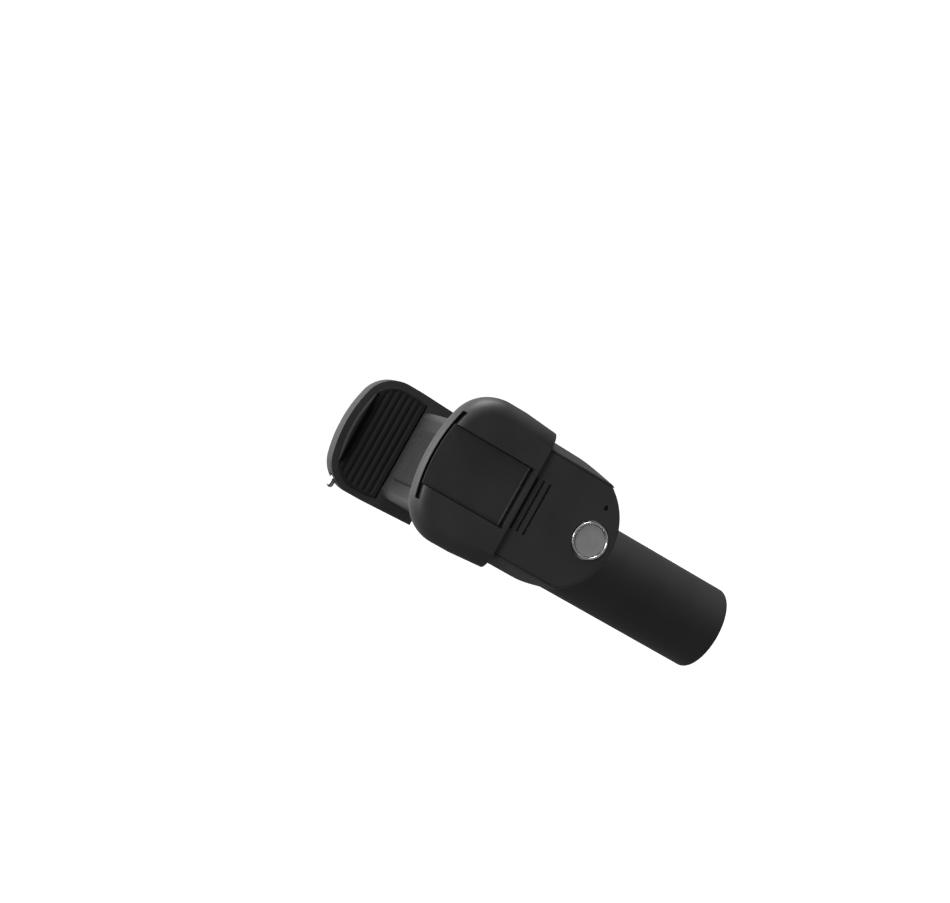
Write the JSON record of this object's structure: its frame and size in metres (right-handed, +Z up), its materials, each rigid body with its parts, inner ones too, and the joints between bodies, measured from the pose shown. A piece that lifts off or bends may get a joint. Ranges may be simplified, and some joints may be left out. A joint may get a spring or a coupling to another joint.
{
  "type": "selfie stick",
  "caption": "Short telescopic selfie stick whose folding head carries a sprung phone clamp and a slide-out camera remote with a round shutter button.",
  "frame": {"origin": "centre of the handle's flat foot", "axes": "+Z up the pole from the foot to the head hinge, -Y along the folded head from the hinge to the near jaw and its remote, X across the head along the hinge pin"},
  "size_m": [0.0297, 0.1123, 0.1129],
  "materials": {
    "soft_black": "soft-touch matte black paint",
    "black_plastic": "fine-textured moulded charcoal ABS",
    "dark_nylon": "smooth acetal",
    "steel_tube": "polished stainless tube",
    "zinc_steel": "zinc-plated",
    "black_rubber": "matte silicone rubber",
    "chrome": "bright chrome plate",
    "button_grey": "satin grey",
    "cell_steel": "nickel",
    "board_green": "solder mask",
    "led_lens": "dark clear lens"
  },
  "bodies": {
    "handle": {"handle_grip": "soft_black", "foot_cap": "black_plastic", "mouth_collar_1": "dark_nylon"},
    "section_1": {"pole_tube_1": "steel_tube", "foot_bush_1": "dark_nylon", "mouth_collar_2": "dark_nylon"},
    "section_2": {"pole_tube_2": "steel_tube", "foot_bush_2": "dark_nylon", "mouth_collar_3": "dark_nylon"},
    "section_3": {"pole_tube_3": "steel_tube", "foot_bush_3": "dark_nylon", "mouth_collar_4": "dark_nylon"},
    "section_4": {"pole_tube_4": "steel_tube", "foot_bush_4": "dark_nylon", "mouth_collar_5": "dark_nylon"},
    "section_5": {"pole_tube_5": "steel_tube", "foot_bush_5": "dark_nylon", "pole_head": "black_plastic"},
    "clamp_base": {"clamp_base": "black_plastic", "far_jaw_cover": "black_plastic", "far_jaw_screws": "zinc_steel", "jaw_cross_pin": "zinc_steel", "back_pad": "black_rubber", "mouth_bush": "dark_nylon", "closing_springs": "zinc_steel", "hinge_pin": "zinc_steel", "hinge_nut": "zinc_steel", "hinge_washers": "dark_nylon", "far_jaw_pad": "black_rubber"},
    "clamp_slide": {"slide_body": "black_plastic", "arm_glide": "dark_nylon", "jaw_cover": "black_plastic", "jaw_cover_screws": "zinc_steel", "inlay_plate": "black_plastic", "near_jaw_pad": "black_rubber"},
    "remote": {"remote_shell": "black_plastic", "remote_base": "black_plastic", "battery_door": "black_plastic", "coin_cell": "cell_steel", "circuit_board": "board_green", "battery_contacts": "cell_steel", "dome_switch": "cell_steel", "status_led": "led_lens", "button_ring": "chrome"},
    "button": {"button_cap": "button_grey"}
  },
  "joints": [
    {"name": "section_1_slide", "type": "slide", "parent": "handle", "child": "section_1", "axis": [0, 0, 1], "range_m": [0, 0.044]},
    {"name": "section_2_slide", "type": "slide", "parent": "section_1", "child": "section_2", "axis": [0, 0, 1], "range_m": [0, 0.044]},
    {"name": "section_3_slide", "type": "slide", "parent": "section_2", "child": "section_3", "axis": [0, 0, 1], "range_m": [0, 0.044]},
    {"name": "section_4_slide", "type": "slide", "parent": "section_3", "child": "section_4", "axis": [0, 0, 1], "range_m": [0, 0.044]},
    {"name": "section_5_slide", "type": "slide", "parent": "section_4", "child": "section_5", "axis": [0, 0, 1], "range_m": [0, 0.044]},
    {"name": "head_tilt", "type": "hinge", "parent": "section_5", "child": "clamp_base", "pos_m": [0, 0, 0.085], "axis": [1, 0, 0], "range_deg": [-180, 0]},
    {"name": "clamp_open", "type": "slide", "parent": "clamp_base", "child": "clamp_slide", "axis": [0, -1, 0], "range_m": [-0.011, 0.017], "stiffness_N_per_m": 120, "springref_m": -0.035, "deforming": ["closing_springs"]},
    {"name": "remote_slide", "type": "slide", "parent": "clamp_slide", "child": "remote", "axis": [0, 0, -1], "range_m": [0, 0.034]},
    {"name": "button_press", "type": "slide", "parent": "remote", "child": "button", "axis": [0, 1, 0], "range_m": [0, 0.0003], "stiffness_N_per_m": 800, "springref_m": -0.0003}
  ]
}
